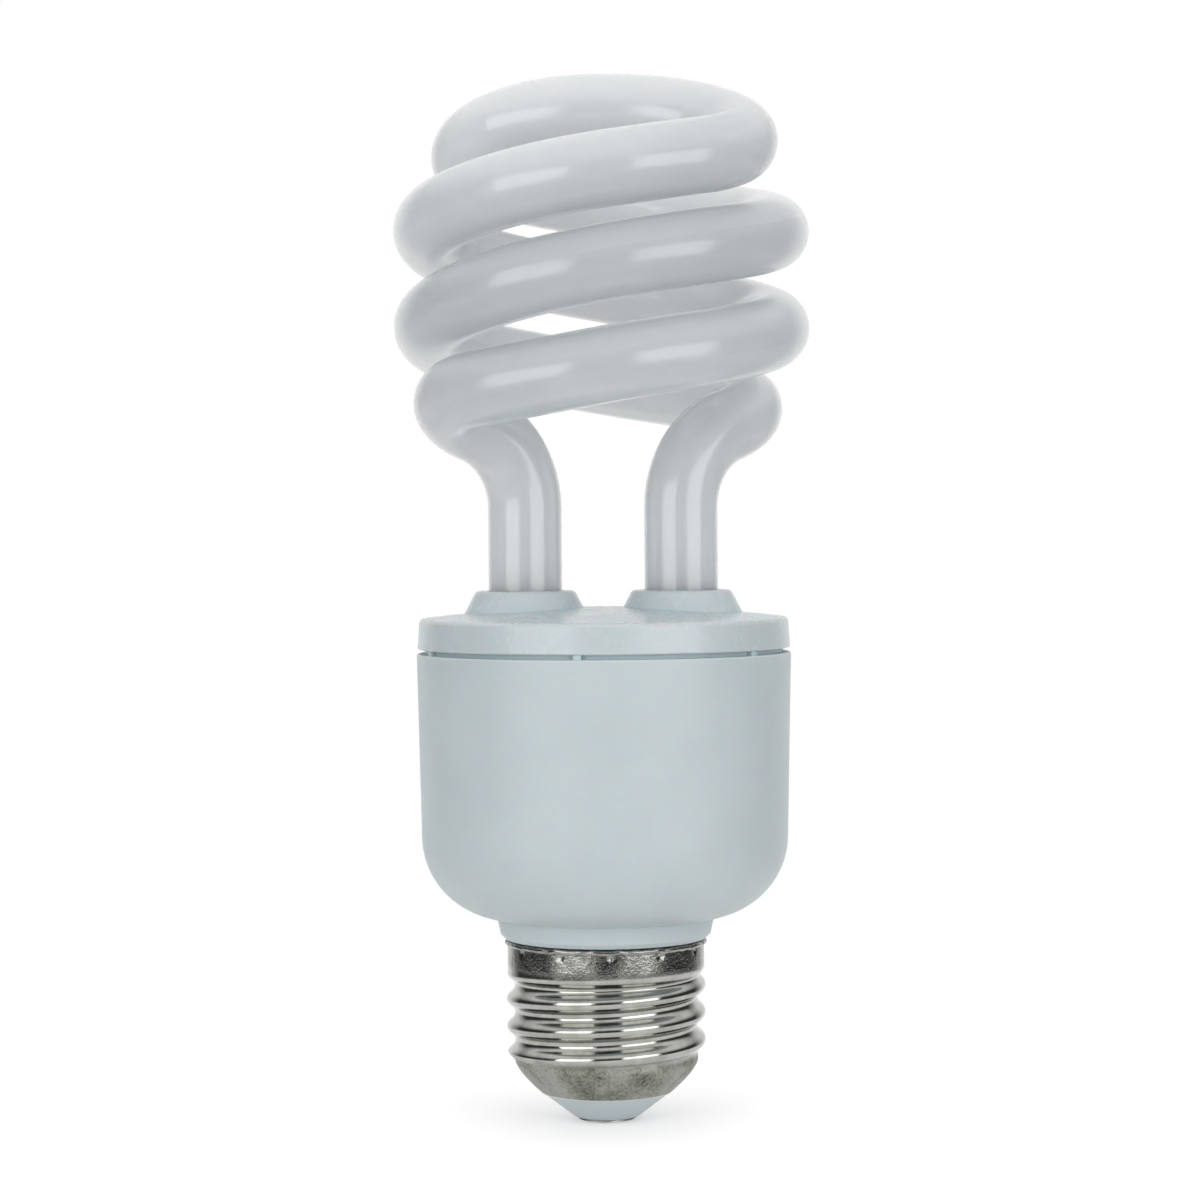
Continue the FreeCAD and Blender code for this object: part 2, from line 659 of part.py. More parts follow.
def make_circuit_board():
    spots = [(0, 0), (0, WIRE_Y)] + can_leads() + bobbin_pins() + ring_leads() + filament_spots()
    for spot in TRANSISTOR_SPOTS:
        spots.extend(transistor_leads(spot))
    for spot in FILM_SPOTS.values():
        spots.extend(film_leads(spot))
    for spot in diode_spots():
        spots.extend(diode_leads(spot))
    for spot in RESISTOR_SPOTS:
        spots.extend(resistor_leads(spot))
    hole_radius = max(LEAD_RADIUS, WIRE_RADIUS, FILAMENT_LEAD_RADIUS) + SOLDER_GAP
    holes = [Part.makeCylinder(hole_radius, BOARD_THICKNESS, Vec(x, y, BOARD_Z)) for x, y in spots]
    board = Part.makeCylinder(BOARD_RADIUS, BOARD_THICKNESS, Vec(0, 0, BOARD_Z))
    return board.cut(holes)


def make_smoothing_capacitor():
    top = BOARD_Z - STAND_OFF
    can = Part.makeCylinder(CAN_RADIUS, CAN_LENGTH, Vec(CAN_X, 0, top - CAN_LENGTH))
    groove_bottom = top - CAN_GROOVE_DROP
    groove = ring(CAN_RADIUS, CAN_RADIUS - CAN_GROOVE, groove_bottom, 2 * CAN_GROOVE, CAN_X)
    leads = [post_lead(x, y, top) for x, y in can_leads()]
    return can.cut(groove).fuse(leads)


CORE_Z = BOARD_Z - STAND_OFF - 2 * CORE_HALF_HEIGHT
BOBBIN_BORE = CORE_CENTRE_LEG + 2 * PRESS_GAP
BOBBIN_TUBE = BOBBIN_BORE + 2 * BOBBIN_WALL
BOBBIN_Z = CORE_Z + CORE_YOKE + PRESS_GAP
BOBBIN_HEIGHT = 2 * (CORE_HALF_HEIGHT - CORE_YOKE - PRESS_GAP)


def make_choke_core(upper):
    """One E shaped half of the choke's ferrite core."""
    leg_height = CORE_HALF_HEIGHT - CORE_YOKE
    split_z = CORE_Z + CORE_HALF_HEIGHT
    yoke_z = split_z + leg_height if upper else CORE_Z
    leg_z = split_z if upper else CORE_Z + CORE_YOKE
    yoke = block(CORE_DEPTH, CORE_LENGTH, CORE_YOKE, CHOKE_X, 0, yoke_z)
    legs = [block(CORE_CENTRE_LEG, CORE_CENTRE_LEG, leg_height, CHOKE_X, 0, leg_z)]
    for side in (-1, 1):
        leg_y = side * (CORE_LENGTH - CORE_LEG) / 2
        legs.append(block(CORE_DEPTH, CORE_LEG, leg_height, CHOKE_X, leg_y, leg_z))
    return yoke.fuse(legs).removeSplitter()


def make_choke_bobbin():
    flange = BOBBIN_TUBE + 2 * BOBBIN_FLANGE_REACH
    upper_z = BOBBIN_Z + BOBBIN_HEIGHT - BOBBIN_FLANGE_THICKNESS
    tube = block(BOBBIN_TUBE, BOBBIN_TUBE, BOBBIN_HEIGHT, CHOKE_X, 0, BOBBIN_Z)
    flanges = []
    for height in (BOBBIN_Z, upper_z):
        flanges.append(block(flange, BOBBIN_TUBE, BOBBIN_FLANGE_THICKNESS, CHOKE_X, 0, height))
    bore = block(BOBBIN_BORE, BOBBIN_BORE, BOBBIN_HEIGHT, CHOKE_X, 0, BOBBIN_Z)
    pins = [post_lead(x, y, BOBBIN_Z + BOBBIN_HEIGHT) for x, y in bobbin_pins()]
    return tube.fuse(flanges).cut(bore).removeSplitter().fuse(pins)


def make_choke_winding():
    inside = BOBBIN_TUBE + 2 * PRESS_GAP
    outside = inside + 2 * WINDING_REACH
    bottom = BOBBIN_Z + BOBBIN_FLANGE_THICKNESS + PRESS_GAP
    height = BOBBIN_HEIGHT - 2 * (BOBBIN_FLANGE_THICKNESS + PRESS_GAP)
    turns = block(outside, outside, height, CHOKE_X, 0, bottom)
    upright = [edge for edge in turns.Edges if edge.BoundBox.ZLength > height / 2]
    turns = turns.makeFillet(WINDING_REACH, upright)
    return turns.cut(block(inside, inside, height, CHOKE_X, 0, bottom))


def ring_bottom():
    return BOARD_Z - STAND_OFF - RING_COIL_WIRE - RING_HEIGHT


def ring_layer(thick):
    """The ring core's space grown by a thickness, on the bulb's axis."""
    height = RING_HEIGHT + 2 * thick
    return ring(RING_RADIUS + thick, RING_BORE_RADIUS - thick, ring_bottom() - thick, height)


def make_drive_core():
    return ring(RING_RADIUS, RING_BORE_RADIUS, ring_bottom(), RING_HEIGHT, RING_X, RING_Y)


def make_drive_windings():
    """Separate coils on the ring core, each with a lead up through the board."""
    sleeve = ring_layer(RING_COIL_WIRE).cut(ring_layer(PRESS_GAP))
    wedge_foot = Vec(0, 0, ring_bottom() - RING_COIL_WIRE)
    wedge = Part.makeCylinder(2 * RING_RADIUS, 2 * RING_HEIGHT, wedge_foot, UP, RING_COIL_SPAN)
    coils = []
    for copy, (x, y) in zip(turned_copies(wedge, RING_COIL_COUNT), ring_leads()):
        coil = sleeve.common(copy)
        coil.translate(Vec(RING_X, RING_Y, 0))
        coils.append(coil.fuse(post_lead(x, y, BOARD_Z - STAND_OFF)))
    return Part.makeCompound(coils)


def make_power_transistor(spot):
    x, y = spot
    top = BOARD_Z - STAND_OFF
    body = block(TRANSISTOR_WIDTH, TRANSISTOR_DEPTH, TRANSISTOR_HEIGHT, x, y, top - TRANSISTOR_HEIGHT)
    hole_foot = Vec(x, y - TRANSISTOR_DEPTH / 2, top - TRANSISTOR_HOLE_DROP)
    hole = Part.makeCylinder(TRANSISTOR_HOLE_RADIUS, TRANSISTOR_DEPTH, hole_foot, Vec(0, 1, 0))
    leads = [post_lead(lead_x, lead_y, top) for lead_x, lead_y in transistor_leads(spot)]
    return body.cut(hole).fuse(leads)


def make_film_capacitor(spot):
    x, y = spot
    top = BOARD_Z - STAND_OFF
    body = block(FILM_LENGTH, FILM_DEPTH, FILM_HEIGHT, x, y, top - FILM_HEIGHT)
    upright = [edge for edge in body.Edges if edge.BoundBox.ZLength > FILM_HEIGHT / 2]
    body = body.makeFillet(FILM_EDGE, upright)
    leads = [post_lead(lead_x, lead_y, top) for lead_x, lead_y in film_leads(spot)]
    return body.fuse(leads)


def make_rectifier_diode(spot):
    """A diode lying under the board, with both leads bent up through it."""
    x, y = spot
    middle_z = BOARD_Z - STAND_OFF - DIODE_RADIUS
    body_foot = Vec(x, y - DIODE_LENGTH / 2, middle_z)
    body = Part.makeCylinder(DIODE_RADIUS, DIODE_LENGTH, body_foot, Vec(0, 1, 0))
    first, last = [Vec(lead_x, lead_y, LEAD_TOP_Z) for lead_x, lead_y in diode_leads(spot)]
    drop = Vec(0, 0, LEAD_TOP_Z - middle_z)
    lead = bent_rod([first, first - drop, last - drop, last], LEAD_RADIUS, LEAD_BEND)
    return body.fuse(lead).removeSplitter()


def make_bias_resistor(spot):
    """A resistor on end under the board, with its far lead folded back up beside it."""
    x, y = spot
    top = BOARD_Z - STAND_OFF
    body = Part.makeCylinder(RESISTOR_RADIUS, RESISTOR_LENGTH, Vec(x, y, top - RESISTOR_LENGTH))
    near, far = [Vec(lead_x, lead_y, LEAD_TOP_Z) for lead_x, lead_y in resistor_leads(spot)]
    drop = Vec(0, 0, LEAD_TOP_Z - top + RESISTOR_LENGTH + 2 * LEAD_BEND)
    lead = bent_rod([near, near - drop, far - drop, far], LEAD_RADIUS, LEAD_BEND)
    return body.fuse(lead).removeSplitter()


def make_fusible_resistor():
    """The mains lead on the axis, from the board to the centre contact."""
    body_top = BOARD_Z - FUSE_DROP
    body = Part.makeCylinder(FUSE_RADIUS, FUSE_LENGTH, Vec(0, 0, body_top - FUSE_LENGTH))
    lead_foot = CONTACT_THICKNESS + PRESS_GAP
    lead = Part.makeCylinder(FUSE_LEAD_RADIUS, LEAD_TOP_Z - lead_foot, Vec(0, 0, lead_foot))
    return body.fuse(lead)


def make_neutral_wire():
    """From the board down the neck, round the spigot's end and up against the shell."""
    spigot_z = NECK_Z - SPIGOT_HEIGHT
    low_z = spigot_z - WIRE_DROP
    points = [
        Vec(0, WIRE_Y, LEAD_TOP_Z),
        Vec(0, WIRE_Y, low_z),
        Vec(0, WIRE_RISE_Y, low_z),
        Vec(0, WIRE_RISE_Y, spigot_z + WIRE_CLIMB),
    ]
    return bent_rod(points, WIRE_RADIUS, (WIRE_Y - WIRE_RISE_Y) * WIRE_BEND_SHARE)


def make_filament_lead(spot):
    x, y = spot
    return Part.makeCylinder(FILAMENT_LEAD_RADIUS, LEG_FOOT_Z - BOARD_Z, Vec(x, y, BOARD_Z))


def make_parts():
    """Every piece of the bulb by its node's name."""
    parts = {
        "centre_contact": make_centre_contact(),
        "base_insulator": make_base_insulator(),
        "screw_shell": make_screw_shell(),
        "ballast_housing": make_ballast_housing(),
        "tube_collar": make_tube_collar(),
        "discharge_tube": make_discharge_tube(),
        "tube_cement_left": make_cement(-1),
        "tube_cement_right": make_cement(1),
        "circuit_board": make_circuit_board(),
        "smoothing_capacitor": make_smoothing_capacitor(),
        "choke_core_upper": make_choke_core(True),
        "choke_core_lower": make_choke_core(False),
        "choke_bobbin": make_choke_bobbin(),
        "choke_winding": make_choke_winding(),
        "drive_transformer_core": make_drive_core(),
        "drive_transformer_windings": make_drive_windings(),
        "fusible_resistor": make_fusible_resistor(),
        "neutral_wire": make_neutral_wire(),
    }
    for name, spot in FILM_SPOTS.items():
        parts[name] = make_film_capacitor(spot)
    for number, spot in enumerate(TRANSISTOR_SPOTS, 1):
        parts[f"power_transistor_{number}"] = make_power_transistor(spot)
    for number, spot in enumerate(diode_spots(), 1):
        parts[f"rectifier_diode_{number}"] = make_rectifier_diode(spot)
    for number, spot in enumerate(RESISTOR_SPOTS, 1):
        parts[f"bias_resistor_{number}"] = make_bias_resistor(spot)
    for number, spot in enumerate(filament_spots(), 1):
        parts[f"filament_lead_{number}"] = make_filament_lead(spot)
    return parts


def main():
    os.makedirs("parts", exist_ok=True)
    for name, shape in make_parts().items():
        shape.exportStep(f"parts/{name}.step")


main()
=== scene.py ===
# Looks of a spiral energy saving bulb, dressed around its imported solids. Lengths are metres.
import bmesh
import bpy
import json
import math
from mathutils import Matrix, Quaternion, Vector


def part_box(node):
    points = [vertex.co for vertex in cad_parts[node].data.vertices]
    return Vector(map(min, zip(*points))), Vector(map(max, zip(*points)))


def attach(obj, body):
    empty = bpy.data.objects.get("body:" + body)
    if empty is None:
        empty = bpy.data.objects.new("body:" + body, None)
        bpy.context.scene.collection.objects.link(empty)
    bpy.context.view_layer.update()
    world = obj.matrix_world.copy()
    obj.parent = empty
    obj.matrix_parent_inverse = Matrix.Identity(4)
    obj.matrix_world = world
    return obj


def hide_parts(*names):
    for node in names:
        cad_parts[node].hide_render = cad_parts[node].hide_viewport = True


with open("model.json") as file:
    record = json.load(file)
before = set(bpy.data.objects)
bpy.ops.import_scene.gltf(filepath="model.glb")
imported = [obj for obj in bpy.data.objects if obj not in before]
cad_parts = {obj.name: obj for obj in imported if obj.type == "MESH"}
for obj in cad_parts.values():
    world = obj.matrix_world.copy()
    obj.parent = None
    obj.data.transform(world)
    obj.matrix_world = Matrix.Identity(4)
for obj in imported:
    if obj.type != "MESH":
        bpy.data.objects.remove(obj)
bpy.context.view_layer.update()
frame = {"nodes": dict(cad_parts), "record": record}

MM = 0.001
UP = Vector((0, 0, 1))
FULL_TURN = 2 * math.pi
WELD_DISTANCE = 0.001 * MM
SHARP_ANGLE = math.radians(50)

# Camera, from the photo's framing: distance to the bulb's axis, eye height, and what the picture's
# middle shows there
EYE_DISTANCE = 440 * MM
EYE_HEIGHT = 80 * MM
PICTURE_MIDDLE = Vector((-0.46, 0, 68.8)) * MM
PICTURE_WIDTH = 158.5 * MM
CAMERA_ROLL = math.radians(-0.4)
CAMERA_CLIP = 10 * MM

# Softboxes to both sides of the camera, turned in degrees about the bulb's axis
SOFTBOX_DISTANCE = 0.62
SOFTBOX_WIDTH = 0.5
SOFTBOX_TALL = 0.36
SOFTBOX_HEIGHT = 0.135
SOFTBOX_TURNS = (-39, 40)
SOFTBOX_POWER = 1.55
SOFTBOX_AIM = Vector((0, 0, 0.09))

# Dark room with a white backdrop. Each fade says how far along Y or Z a direction points where the room's
# level ends, and where the other level is full.
ROOM_LEVEL = 0.06
BACKDROP_LEVEL = 0.95
BACKDROP_FADE_Y = (0.55, 0.85)
CEILING_LEVEL = 1.0
CEILING_FADE_Z = (0.25, 0.6)
FLOOR_LEVEL = 0.5
FLOOR_FADE_Z = (-0.12, -0.3)
TABLE_RADIUS = 120 * MM
TABLE_FADE = 60 * MM
TABLE_SEGMENTS = 96
TABLE_GLOW = 0.36

# Screw shell, with the sizes of the solid it stands for
SHELL_LIP_RADIUS = 8.55 * MM
SHELL_WALL = 0.4 * MM
DOME_HEIGHT = 4.15 * MM
THREAD_HEIGHT = 12.6 * MM
THREAD_PITCH = 3.629 * MM
THREAD_ROOT_RADIUS = 12.1 * MM
THREAD_DEPTH = 1.05 * MM
THREAD_FULLNESS = 0.06
THREAD_LEAD_IN = 1.6 * MM
THREAD_RUN_OUT = 2.0 * MM
BAND_RADIUS = 13.0 * MM
LIP_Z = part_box("screw_shell")[0][2]
NECK_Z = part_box("screw_shell")[1][2]
THREAD_Z = LIP_Z + DOME_HEIGHT
FIRST_CREST_Z = THREAD_Z + 2.9 * MM
BAND_Z = THREAD_Z + THREAD_HEIGHT
SHELL_ROWS = 110
SHELL_COLUMNS = 288

# Trim of the screw shell: rolled edge, its uneven crimps, and stakes
ROLLED_EDGE = 0.42 * MM
ROLLED_EDGE_STEPS = 7
ROLLED_EDGE_START = math.radians(-60)
ROLLED_EDGE_SWEEP = math.radians(150)
CRIMP_COUNTS = (19, 31, 47)
CRIMP_DEPTH = 0.1 * MM
STAKE_COUNT = 12
STAKE_TURN = math.radians(-87)
STAKE_Z = 22.9 * MM
STAKE_DEPTH = 0.16 * MM
STAKE_SIZE = 0.38 * MM

# Centre contact, with the radius and height of a few points on its solder
CONTACT_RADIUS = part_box("centre_contact")[1][0]
CONTACT_THICKNESS = 0.35 * MM
CONTACT_EDGE_Z = 0.24 * MM
CONTACT_EDGE_DRAFT = 0.04 * MM
CONTACT_SEGMENTS = 72
RIVET_RADIUS = 1.5 * MM
RIVET_TOP_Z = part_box("centre_contact")[1][2]
SOLDER_CROWN = [
    (0, 0),
    (1.4 * MM, 0.01 * MM),
    (2.5 * MM, 0.06 * MM),
    (3.4 * MM, 0.1 * MM),
    (3.75 * MM, 0.14 * MM),
]

# Places where a finish changes along a part, and the width of the step between two finishes
FINISH_STEP = 0.05 * MM
SEAM_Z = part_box("ballast_housing")[1][2]
LIP_FADE_Z = (LIP_Z + 0.3 * MM, LIP_Z + 0.2 * MM)
# Below the thread, the dome fades into tarnished spots on a tone darkened as painted shade.
TARNISH_AND_SHADE_FADE_Z = (THREAD_Z + 1.6 * MM, THREAD_Z + 0.6 * MM)
# Above this fade the plain band's mottled tone is darkened as painted shade.
BAND_FADE_Z = (BAND_Z - 0.2 * MM, BAND_Z + 0.5 * MM)
BOARD_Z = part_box("circuit_board")[0][2]
BOARD_TOP_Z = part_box("circuit_board")[1][2]
LEADS_Z = BOARD_Z - 0.6 * MM
BOBBIN_TOP_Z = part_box("choke_winding")[1][2] + 0.95 * MM
CAN_STRIPE_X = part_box("smoothing_capacitor")[1][0] - 0.65 * MM
RESISTOR_LENGTH = 6.3 * MM
RESISTOR_RADIUS = 1.15 * MM
RESISTOR_REACH = 1.8 * MM
FUSE_TOP_Z = BOARD_Z - 34 * MM
FUSE_LENGTH = 9 * MM
BARE_END = 0.01 * MM

# Levels of a cloudy pattern between which a finish drifts from one look to another
CLOUD_SPAN = (0.3, 0.7)
STRONG_CLOUD_SPAN = (0.35, 0.65)

# How roughness and relief differ from place to place on one finish
COLLAR_ROUGHNESS_SHARE = 0.62
DOME_EXTRA_ROUGHNESS = 0.3
THREAD_MOTTLE_SHARE = 0.12
WIRE_ROUGHNESS_SHARE = 0.5
ROUGHNESS_DRIFT = 1.4

# Hidden finishes: turns of wire about 0.3 mm apart, tracks on the board, and colours of leads and
# resistors, with the rings placed as shares of the body's length
WINDING_DENSITY = 1000.0
TRACK_SPACING = 6 * MM
TRACK_EDGE = (0.05, 0.07)
TINNED = (0.62, 0.61, 0.59)
BUFF = (0.52, 0.40, 0.24)
BROWN = (0.16, 0.05, 0.015)
BLACK = (0.012, 0.012, 0.012)
RED = (0.4, 0.02, 0.015)
GOLD = (0.45, 0.3, 0.08)
RESISTOR_RINGS = [(0.15, BROWN), (0.32, BLACK), (0.48, RED), (0.78, GOLD)]
RING_WIDTH = 0.07
LEAD_SHARE = 0.001


# Steps shared by the finishes
def start_finish(name):
    """A material, its node tree and the surface shader that the nodes feed."""
    material = bpy.data.materials.new(name)
    material.use_nodes = True
    tree = material.node_tree
    return material, tree, tree.nodes["Principled BSDF"]


def put(tree, value, socket):
    """Feed a socket from another one, or set it to a plain value."""
    if isinstance(value, bpy.types.NodeSocket):
        tree.links.new(value, socket)
    elif isinstance(value, tuple) and len(socket.default_value) == 4:
        socket.default_value = (*value, 1)
    else:
        socket.default_value = value


def set_sockets(shader, **values):
    """Sockets or plain values on a shader's own sockets, named with _ for a space."""
    for name, value in values.items():
        put(shader.id_data, value, shader.inputs[name.replace("_", " ")])


def place_on(tree):
    """Where a point lies on the bulb."""
    return tree.nodes.new("ShaderNodeTexCoord").outputs["Object"]


def along(tree, axis):
    """How far a point lies along one axis."""
    axes = tree.nodes.new("ShaderNodeSeparateXYZ")
    tree.links.new(place_on(tree), axes.inputs["Vector"])
    return axes.outputs[axis]


def reckon(tree, operation, first, second=0.0):
    """One sum on two numbers or sockets."""
    node = tree.nodes.new("ShaderNodeMath")
    node.operation = operation
    put(tree, first, node.inputs[0])
    put(tree, second, node.inputs[1])
    return node.outputs["Value"]


def spread(tree, level, low, high, low_to=0.0, high_to=1.0):
    """A pattern's levels from low to high, carried over to another span."""
    node = tree.nodes.new("ShaderNodeMapRange")
    for socket, number in zip(("From Min", "From Max", "To Min", "To Max"), (low, high, low_to, high_to)):
        node.inputs[socket].default_value = number
    tree.links.new(level, node.inputs["Value"])
    return node.outputs["Result"]


def clouds(tree, grain, detail=3.0, roughness=0.55):
    """A cloudy pattern whose patches are about one grain wide."""
    node = tree.nodes.new("ShaderNodeTexNoise")
    node.inputs["Scale"].default_value = 1 / grain
    node.inputs["Detail"].default_value = detail
    node.inputs["Roughness"].default_value = roughness
    tree.links.new(place_on(tree), node.inputs["Vector"])
    return node.outputs["Fac"]


def tint(tree, level, *stops, blend="LINEAR"):
    """A colour for each level of a pattern."""
    node = tree.nodes.new("ShaderNodeValToRGB")
    node.color_ramp.interpolation = blend
    while len(node.color_ramp.elements) < len(stops):
        node.color_ramp.elements.new(1.0)
    for element, (place, colour) in zip(node.color_ramp.elements, stops):
        element.position = place
        element.color = (*colour, 1)
    tree.links.new(level, node.inputs["Fac"])
    return node.outputs["Color"]


def cloudy_tone(tree, cloud, dark, pale, span=CLOUD_SPAN):
    """A colour that drifts between two with a cloudy pattern."""
    low, high = span
    return tint(tree, cloud, (low, dark), (high, pale))


def cloudy_roughness(tree, cloud, least, most):
    """A roughness that drifts between two with a cloudy pattern."""
    return spread(tree, cloud, *CLOUD_SPAN, least, most)


def lay_over(tree, share, under, over):
    """One colour laid over another where the share is 1."""
    node = tree.nodes.new("ShaderNodeMix")
    node.data_type = "RGBA"
    tree.links.new(share, node.inputs["Factor"])
    under_socket, over_socket = [socket for socket in node.inputs if socket.type == "RGBA"]
    put(tree, under, under_socket)
    put(tree, over, over_socket)
    return next(socket for socket in node.outputs if socket.type == "RGBA")


def relief(tree, shader, level, depth, strength=1.0):
    """Small ups and downs of a surface."""
    node = tree.nodes.new("ShaderNodeBump")
    node.inputs["Strength"].default_value = strength
    node.inputs["Distance"].default_value = depth
    tree.links.new(level, node.inputs["Height"])
    tree.links.new(node.outputs["Normal"], shader.inputs["Normal"])


# Finishes that show from outside
def phosphor_glass():
    """Milky glass under a clear gloss. Light soaks in, so the far turns and the rims stay pale."""
    material, tree, shader = start_finish("phosphor_glass")
    cloud = clouds(tree, grain=9 * MM)
    tone = cloudy_tone(tree, cloud, dark=(0.43, 0.48, 0.515), pale=(0.47, 0.52, 0.555))
    set_sockets(shader, Base_Color=tone, Roughness=0.6, Specular_IOR_Level=0.1)
    set_sockets(shader, Coat_Weight=1.0, Coat_Roughness=0.17, Coat_IOR=1.6)
    set_sockets(shader, Subsurface_Weight=1.0, Subsurface_Scale=90 * MM, Subsurface_Radius=(1.0, 1.0, 1.0))
    return material


def moulded_plastic(name, dark, pale, smooth_above=None):
    """Satin plastic with a fine grain and faint flow clouds, smoother above a height where one is given."""
    material, tree, shader = start_finish(name)
    tone = cloudy_tone(tree, clouds(tree, grain=14 * MM), dark, pale)
    rough = cloudy_roughness(tree, clouds(tree, grain=5 * MM), least=0.38, most=0.5)
    if smooth_above is not None:
        ends = (smooth_above - FINISH_STEP, smooth_above + FINISH_STEP)
        share = spread(tree, along(tree, "Z"), *ends, low_to=1.0, high_to=COLLAR_ROUGHNESS_SHARE)
        rough = reckon(tree, "MULTIPLY", rough, share)
    set_sockets(shader, Base_Color=tone, Roughness=rough, Subsurface_Weight=0.5, Subsurface_Scale=2 * MM)
    relief(tree, shader, clouds(tree, grain=0.25 * MM), depth=0.01 * MM, strength=0.5)
    return material


def nickel_plate():
    """Bright rolled nickel, mottled on the plain band, tarnished on the dome above its lip; band and dome are
    darkened as painted shade.
    """
    material, tree, shader = start_finish("nickel_plate")
    height = along(tree, "Z")
    dome = spread(tree, height, *TARNISH_AND_SHADE_FADE_Z)
    lip = spread(tree, height, *LIP_FADE_Z)
    band = spread(tree, height, *BAND_FADE_Z)
    bright = cloudy_tone(
        tree, clouds(tree, grain=2.5 * MM),
        dark=(0.35, 0.35, 0.325), pale=(0.45, 0.45, 0.42), span=STRONG_CLOUD_SPAN)
    # Band tone: real mottling, with the whole tone darkened as painted shade.
    band_mottle_and_shade = cloudy_tone(
        tree, clouds(tree, grain=1.5 * MM),
        dark=(0.19, 0.195, 0.175), pale=(0.33, 0.335, 0.31), span=STRONG_CLOUD_SPAN)
    specks = clouds(tree, grain=0.4 * MM, detail=5.0, roughness=0.7)
    marks = spread(tree, reckon(tree, "ADD", specks, clouds(tree, grain=5 * MM)), low=0.7, high=1.3)
    # Dome tone: real tarnished spots on a tone darkened as painted shade of the downward-facing dome.
    tarnish_and_shade = tint(
        tree, marks, (0.15, (0.08, 0.08, 0.06)), (0.45, (0.22, 0.225, 0.19)), (0.8, (0.34, 0.345, 0.315)))
    colour = lay_over(tree, band, bright, band_mottle_and_shade)
    colour = lay_over(tree, dome, colour, tarnish_and_shade)
    colour = lay_over(tree, lip, colour, (0.68, 0.68, 0.66))
    rough = cloudy_roughness(tree, clouds(tree, grain=0.8 * MM), least=0.09, most=0.17)
    rough = reckon(tree, "ADD", rough, reckon(tree, "MULTIPLY", dome, DOME_EXTRA_ROUGHNESS))
    set_sockets(shader, Base_Color=colour, Metallic=1.0, Roughness=rough)
    share = spread(tree, band, low=0.0, high=1.0, low_to=THREAD_MOTTLE_SHARE)
    mottle = reckon(tree, "MULTIPLY", clouds(tree, grain=0.36 * MM, detail=4.0), share)
    relief(tree, shader, mottle, depth=0.05 * MM)
    return material


def contact_metal():
    """Tinned contact, smeared with solder and scratched dull."""
    material, tree, shader = start_finish("contact_metal")
    tone = cloudy_tone(
        tree, clouds(tree, grain=1.5 * MM, detail=5.0),
        dark=(0.30, 0.29, 0.27), pale=(0.60, 0.59, 0.57), span=STRONG_CLOUD_SPAN)
    rough = cloudy_roughness(tree, clouds(tree, grain=0.6 * MM), least=0.22, most=0.42)
    set_sockets(shader, Base_Color=tone, Metallic=1.0, Roughness=rough)
    relief(tree, shader, clouds(tree, grain=0.7 * MM), depth=0.08 * MM)
    return material


# Finishes of the hidden parts
def plain_finish(name, dark, pale, grain, roughness, metal=0.0, wire_above=None):
    """A mottled finish, with tinned leads above a height where the part has them."""
    material, tree, shader = start_finish(name)
    cloud = clouds(tree, grain, detail=4.0)
    tone = cloudy_tone(tree, cloud, dark, pale)
    rough = cloudy_roughness(tree, cloud, least=roughness, most=roughness * ROUGHNESS_DRIFT)
    if wire_above is not None:
        wire = spread(tree, along(tree, "Z"), wire_above, wire_above + FINISH_STEP)
        tone = lay_over(tree, wire, tone, TINNED)
        share = spread(tree, wire, low=0.0, high=1.0, low_to=1.0, high_to=WIRE_ROUGHNESS_SHARE)
        rough = reckon(tree, "MULTIPLY", rough, share)
        metal = wire
    set_sockets(shader, Base_Color=tone, Roughness=rough, Metallic=metal)
    relief(tree, shader, cloud, depth=0.1 * grain)
    return material


def wound_wire():
    """Enamelled copper wire in close turns."""
    material, tree, shader = start_finish("copper_winding")
    wave = tree.nodes.new("ShaderNodeTexWave")
    wave.bands_direction = "Z"
    wave.inputs["Scale"].default_value = WINDING_DENSITY
    wave.inputs["Distortion"].default_value = 1.5
    tree.links.new(place_on(tree), wave.inputs["Vector"])
    turns = wave.outputs["Fac"]
    tone = tint(tree, turns, (0.0, (0.14, 0.035, 0.012)), (0.6, (0.48, 0.16, 0.06)))
    rough = cloudy_roughness(tree, clouds(tree, grain=1 * MM), least=0.2, most=0.32)
    set_sockets(shader, Base_Color=tone, Metallic=0.8, Roughness=rough, Coat_Weight=0.5)
    relief(tree, shader, turns, depth=0.08 * MM)
    return material


def board_laminate():
    """Brown paper laminate with tinned tracks on its upper face."""
    material, tree, shader = start_finish("board")
    fibres = clouds(tree, grain=1.6 * MM, detail=6.0)
    paper = cloudy_tone(tree, fibres, dark=(0.30, 0.17, 0.07), pale=(0.44, 0.27, 0.12))
    cells = tree.nodes.new("ShaderNodeTexVoronoi")
    cells.feature = "DISTANCE_TO_EDGE"
    cells.inputs["Scale"].default_value = 1 / TRACK_SPACING
    tree.links.new(place_on(tree), cells.inputs["Vector"])
    tracks = spread(tree, cells.outputs["Distance"], *TRACK_EDGE)
    top = spread(tree, along(tree, "Z"), BOARD_TOP_Z - 2 * FINISH_STEP, BOARD_TOP_Z - FINISH_STEP)
    metal = reckon(tree, "MULTIPLY", tracks, top)
    tone = lay_over(tree, metal, paper, TINNED)
    rough = cloudy_roughness(tree, clouds(tree, grain=2 * MM), least=0.4, most=0.6)
    set_sockets(shader, Base_Color=tone, Metallic=metal, Roughness=rough)
    relief(tree, shader, tracks, depth=0.03 * MM, strength=0.5)
    return material


